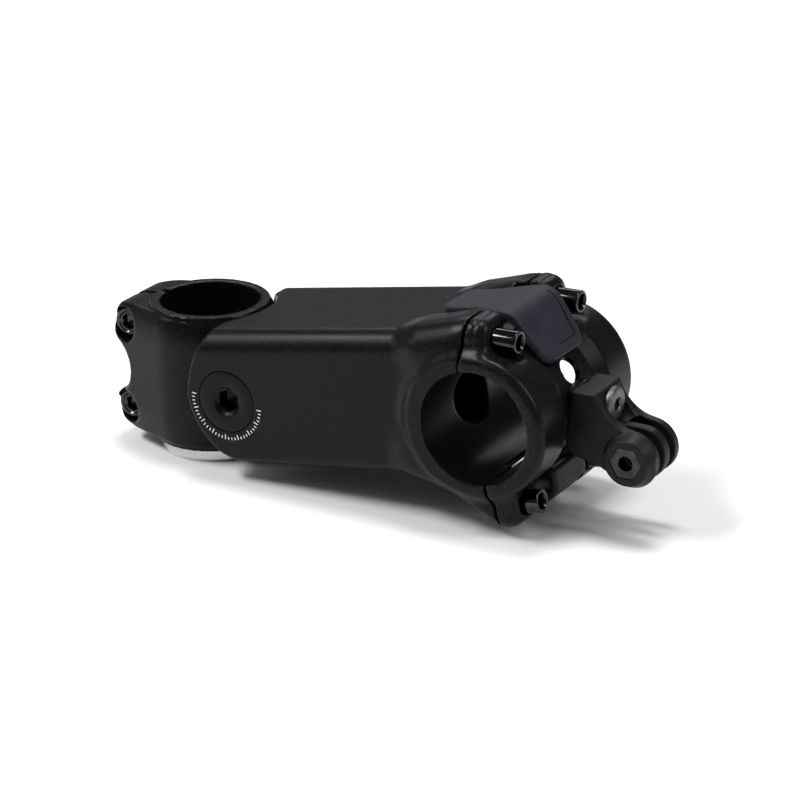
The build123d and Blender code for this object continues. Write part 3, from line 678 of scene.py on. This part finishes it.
def cover_skin(x, z):
    """Outer face of the top cover in the side view: a long slope that bends down at the front."""
    roof = (z - ROOF_POINT[1]) * math.cos(ROOF_LEAN) - (x - ROOF_POINT[0]) * math.sin(ROOF_LEAN)
    run, drop = COVER_TIP[0] - COVER_BEND[0], COVER_BEND[1] - COVER_TIP[1]
    front = ((x - COVER_BEND[0]) * drop + (z - COVER_BEND[1]) * run) / math.hypot(run, drop)
    return rmax(roof, front, 3.0)


def top_cover_field(x, y, z):
    skin = cover_skin(x, z)
    halves = np.array(COVER_HALF)
    side = (np.abs(y) - np.interp(x, halves[:, 0], halves[:, 1])) * 0.93    # for its slant
    tip = (x - COVER_TIP[0]) * TIP_OUT[0] + (z - COVER_TIP[1]) * TIP_OUT[1]
    plan = rmax(side, np.maximum(COVER_REAR - x, tip), 2.6)
    solid = rmax(rmax(skin, plan, 0.9), -skin - COVER_THICK, 0.3)
    crease = np.maximum(np.abs(plan + 3.1) - 0.28, -0.45 - skin)
    crease = np.maximum(crease, np.maximum(103.0 - x, -1.5 - y))
    rib = box_field(x, y, z, 92.4, 94.6, -9.0, 9.0, 28.0, 34.0)     # locates it between the bosses
    return rmin(cut(solid, crease, 0.15), rib, 0.4)


def bottom_cover_field(x, y, z):
    """Small cap under the faceplate's middle band: an outer skin less the hollow inside it."""
    skin = ((100.0, -17.3, 1.0), (110.6, -16.2, 1.9), (113.2, -12.6, 1.9), (112.9, -8.8, 1.5))
    hollow = ((99.0, -15.0, 0.9), (109.8, -13.7, 2.4), (111.3, -11.6, 1.6), (110.4, -6.0, 1.0))
    solid = cut(hull_field(x, z, *skin), hull_field(x, z, *hollow), 0.3)
    return rmax(solid, np.abs(y) - 9.0, 1.2)


def accessory_mount_field(x, y, z):
    side = np.abs(y)
    hub = (EYE[0], EYE[2], HUB_R)
    arm = hull_field(x, z, hub, (121.8, 3.0, 4.0), (123.0, 6.0, 3.0))
    corners = ((119.4, 14.7, 1.2), (125.2, 14.7, 1.2), (126.8, 6.0, 1.2), (121.0, 1.0, 2.0))
    solid = rmin(arm, hull_field(x, z, *corners), 7.0)
    solid = rmax(solid, side - MOUNT_HALF, 1.0)
    screw = ring(y, z, 0, MOUNT_SCREW_Z, 0)
    trough = rmax(np.maximum(screw - 5.0, side - 4.7), MOUNT_FACE_X - 1.0 - x, 0.3)
    solid = cut(solid, trough, 0.5)
    # tapered eye on the near side, with a pocket for the captive nut
    around = ring(x, z, EYE[0], EYE[2], 0)
    eye = np.maximum(around - HUB_R - (y + MOUNT_HALF) * EYE_TAPER, -EYE_OUT - y)
    eye = rmax(eye, y + MOUNT_HALF - 1.0, 0.4)
    solid = rmin(solid, rmax(eye, -EYE_OUT - y, 0.5), 0.3)
    slot = hull_field(x, z, (EYE[0], EYE[2], HUB_R + 1.2), (EYE[0] + 14, EYE[2], HUB_R + 1.2))
    slot = rmax(slot, np.abs(side - (PRONG + PRONG_GAP) / 2) - PRONG_GAP / 2, 0.4)
    solid = cut(solid, slot, 0.35)
    turns = np.arange(6) * math.tau / 6 + math.tau / 12
    flats = [(x - EYE[0]) * math.cos(t) + (z - EYE[2]) * math.sin(t) for t in turns]
    pocket = np.maximum.reduce(np.broadcast_arrays(*flats)) - NUT_HALF
    solid = cut(solid, np.maximum(pocket, y + MOUNT_HALF - 1.0), 0.3)
    solid = np.maximum(solid, EYE_BORE_R - around)
    # clears the bar clamp's middle band, and the boss of its own screw
    bar = ring(x, z, BAR[0], BAR[2], 0)
    step = np.interp(side, [0, BAND_HALF, BEVEL_HALF, 99], [BAND_R, BAND_R, BARREL_R, BARREL_R])
    solid = np.maximum(solid, step + 0.2 - bar)
    solid = np.maximum(solid, -np.maximum(screw - MOUNT_BOSS_R - 0.1, x - MOUNT_BOSS_X - 0.1))
    return np.maximum(solid, M5_R + 0.1 - screw)


# ---------------------------------------------------------------- turned parts
def hexagon(turn, across):
    """Radius of a hexagon at an angle from the middle of a flat."""
    sector = math.tau / 6
    return across / 2 / math.cos((turn + sector / 2) % sector - sector / 2)


def lathe(name, rings, place, direction, segments=72):
    """Turned part along direction from place. Rings give (forward, size, kind), from the shank's
    end round the outside to the bottom of the socket; kind is round or hex, sized by its radius or
    its width across flats."""
    frame_turn = Vector(direction).to_track_quat("X", "Z").to_matrix()
    shape = bmesh.new()
    loops = []
    for forward, size, kind in rings:
        loop = []
        for i in range(segments):
            turn = math.tau * i / segments
            radius = hexagon(turn, size) if kind == "hex" else size
            point = Vector((forward, radius * math.cos(turn), radius * math.sin(turn)))
            loop.append(shape.verts.new((Vector(place) + frame_turn @ point) * MM))
        loops.append(loop)
    for first, second in zip(loops, loops[1:]):
        for i in range(segments):
            j = (i + 1) % segments
            shape.faces.new((first[i], first[j], second[j], second[i]))
    shape.faces.new(loops[0][::-1])
    shape.faces.new(loops[-1])
    bmesh.ops.recalc_face_normals(shape, faces=shape.faces)
    mesh = bpy.data.meshes.new(name)
    shape.to_mesh(mesh)
    shape.free()
    mesh.shade_smooth()
    mesh.set_sharp_from_angle(angle=math.radians(34))
    made = bpy.data.objects.new(name, mesh)
    bpy.context.scene.collection.objects.link(made)
    return made


def head_rings(radius, back, depth, across, lip):
    """Outside of a socket head that ends at forward zero, its rolled rim and its hex socket."""
    rim = [(-lip * (1 - math.sin(t)), radius - lip * (1 - math.cos(t)), "round")
           for t in np.linspace(0, math.pi / 2, 5)]
    inner = radius - 2.2 * lip
    mouth = across / 2 / math.cos(math.tau / 12) + 0.05
    return [(back, radius - 0.2, "round"), (back + 0.2, radius, "round"), *rim, (0, inner, "round"),
            (-0.35, inner - 0.35, "round"), (-0.35, mouth, "round"), (-0.6, across, "hex"),
            (-depth, across, "hex"), (-depth - 0.8, 0.4, "round")]


def threaded_end(tip, root):
    """Rings of an M5 shank from its bevelled tip to its root."""
    return [(tip, M5_TIP_R, "round"), (tip + TIP_BEVEL, M5_R, "round"), (root, M5_R, "round")]


def lean_direction(bolt):
    return (math.cos(math.radians(bolt[2])), 0, math.sin(math.radians(bolt[2])))


def make_face_bolts():
    made = []
    for level, bolt in (("top", TOP_BOLT), ("low", LOW_BOLT)):
        for side, sign in (("left", 1), ("right", -1)):
            shank = threaded_end(-HEAD_L - SHANK, -HEAD_L)
            rings = shank + head_rings(HEAD_R, -HEAD_L, 4.6, HEX_4, 0.35)
            place = (bolt[0], sign * BOLT_Y, bolt[1])
            made.append(lathe(f"face_bolt_{level}_{side}", rings, place, lean_direction(bolt)))
    return made


def make_pinch_bolts():
    made = []
    head_end = PINCH_SEAT - WASHER - PINCH_HEAD_L
    for level, z in (("top", LUG_Z), ("low", -LUG_Z)):
        shank = threaded_end(-PINCH_HEAD_L - PINCH_SHANK, -PINCH_HEAD_L)
        rings = shank + head_rings(PINCH_HEAD_R, -PINCH_HEAD_L, 2.6, HEX_4, 0.5)
        made.append(lathe(f"pinch_bolt_{level}", rings, (LUG_X, head_end, z), (0, -1, 0)))
    return made


def make_pivot_caps():
    """The two pivot bolts: axle, flat cap with a softened rim, and a dish round the hex socket."""
    axle = [(-AXLE_L, AXLE_R - 0.4, "round"), (TIP_BEVEL - AXLE_L, AXLE_R, "round"),
            (-CAP_T, AXLE_R, "round")]
    cap = [(-CAP_T, CAP_R - 0.15, "round"), (0.2 - CAP_T, CAP_R, "round"), (-0.25, CAP_R, "round"),
           (-0.07, CAP_R - 0.07, "round"), (0, CAP_R - 0.25, "round")]
    dish = [(0, 4.6, "round"), (-0.15, 4.25, "round"), (-0.9, 3.75, "round"), (-1.0, 3.55, "round"),
            (-1.15, HEX_6, "hex"), (-5.0, HEX_6, "hex"), (-6.2, 1.0, "round")]
    made = []
    for side, sign in (("left", 1), ("right", -1)):
        place = (PIVOT[0], sign * CAP_HALF, PIVOT[2])
        made.append(lathe(f"pivot_cap_{side}", axle + cap + dish, place, (0, sign, 0), 96))
    return made


def make_mount_screw():
    """Button-headed screw: shank, domed head, then its hex socket."""
    head_t = 1.8
    dome = [(-head_t, 4.8, "round"), (0.2 - head_t, 4.9, "round"), (-0.9, 4.9, "round"),
            (-0.5, 4.78, "round"), (-0.2, 4.45, "round"), (-0.05, 4.0, "round"),
            (0.0, 3.4, "round")]
    socket = [(0.0, 2.1, "round"), (-0.25, 1.85, "round"), (-0.4, HEX_3, "hex"),
              (-2.2, HEX_3, "hex"), (-2.8, 0.4, "round")]
    rings = threaded_end(-12.2, -head_t) + dome + socket
    place = (MOUNT_FACE_X - 1.0 + head_t, 0, MOUNT_SCREW_Z)
    return [lathe("mount_screw_turned", rings, place, (1, 0, 0))]


def make_index_ticks():
    """Printed white marks in an arc round the right pivot cap: strips just proud of the cheek."""
    shape = bmesh.new()
    for i, degrees in enumerate(np.linspace(TICKS_FROM, TICKS_TO, TICK_COUNT)):
        turn = math.radians(degrees)
        out = np.array([math.cos(turn), math.sin(turn)])
        along = np.array([-math.sin(turn), math.cos(turn)])
        inner = TICK_R - (TICK_SHORT if i % TICKS_PER_LONG else TICK_LONG)
        flat = [out * inner - along * TICK_HALF, out * TICK_R - along * TICK_HALF,
                out * TICK_R + along * TICK_HALF, out * inner + along * TICK_HALF]
        loops = [[shape.verts.new(((PIVOT[0] + u) * MM, y * MM, (PIVOT[2] + w) * MM))
                  for u, w in flat]
                 for y in (TICK_SKIN - BODY_HALF, -TICK_SKIN - BODY_HALF)]
        shape.faces.new(loops[0])
        shape.faces.new(loops[1][::-1])
        for j in range(4):
            k = (j + 1) % 4
            shape.faces.new((loops[0][j], loops[1][j], loops[1][k], loops[0][k]))
    bmesh.ops.recalc_face_normals(shape, faces=shape.faces)
    mesh = bpy.data.meshes.new("index_ticks")
    shape.to_mesh(mesh)
    shape.free()
    made = bpy.data.objects.new("index_ticks", mesh)
    bpy.context.scene.collection.objects.link(made)
    return made


# ---------------------------------------------------------------- build
finish_cad_nodes()
make_floor()
make_lights()
make_camera()

STEP = 0.58      # grid of the large shells
FINE = 0.33      # and of the small ones
# name, field, box to search, grid, slot, body, CAD node it stands for
shells = [
    ("forged_body", body_field, (0, -28, -22), (118, 28, 38), STEP,
     "body_alloy", "stem", "stem_body"),
    ("forged_faceplate", faceplate_field, (90, -28, -22), (122, 28, 40), STEP,
     "faceplate_alloy", "faceplate", "faceplate"),
    ("forged_clamp", clamp_field, (-30, -22, -22), (62, 22, 22), STEP,
     "clamp_alloy", "clamp", "steerer_clamp"),
    ("soft_top_cover", top_cover_field, (78, -14, 21), (117, 14, 39), FINE,
     "cover_plastic", "top_cover", "top_cover"),
    ("lower_cover", bottom_cover_field, (97, -11, -21), (117, 11, -5), FINE,
     "mount_plastic", "faceplate", "bottom_cover"),
    ("pronged_mount", accessory_mount_field, (115, -12, -11), (146, 10, 18), FINE,
     "mount_plastic", "faceplate", "accessory_mount"),
]
for name, field, low, high, step, slot, body, node in shells:
    place_piece(contour(name, field, low, high, step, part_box(node)), slot, body, node)

turned = [
    (make_face_bolts(), "black_bolt", "faceplate", "face_bolts"),
    (make_pinch_bolts(), "black_bolt", "clamp", "pinch_bolts"),
    (make_pivot_caps(), "pivot_cap", "clamp", "pivot_bolts"),
    (make_mount_screw(), "grey_screw", "faceplate", "mount_screw"),
]
for pieces, slot, body, node in turned:
    for piece in pieces:
        place_piece(piece, slot, body, node)
place_piece(make_index_ticks(), "white_paint", "stem")
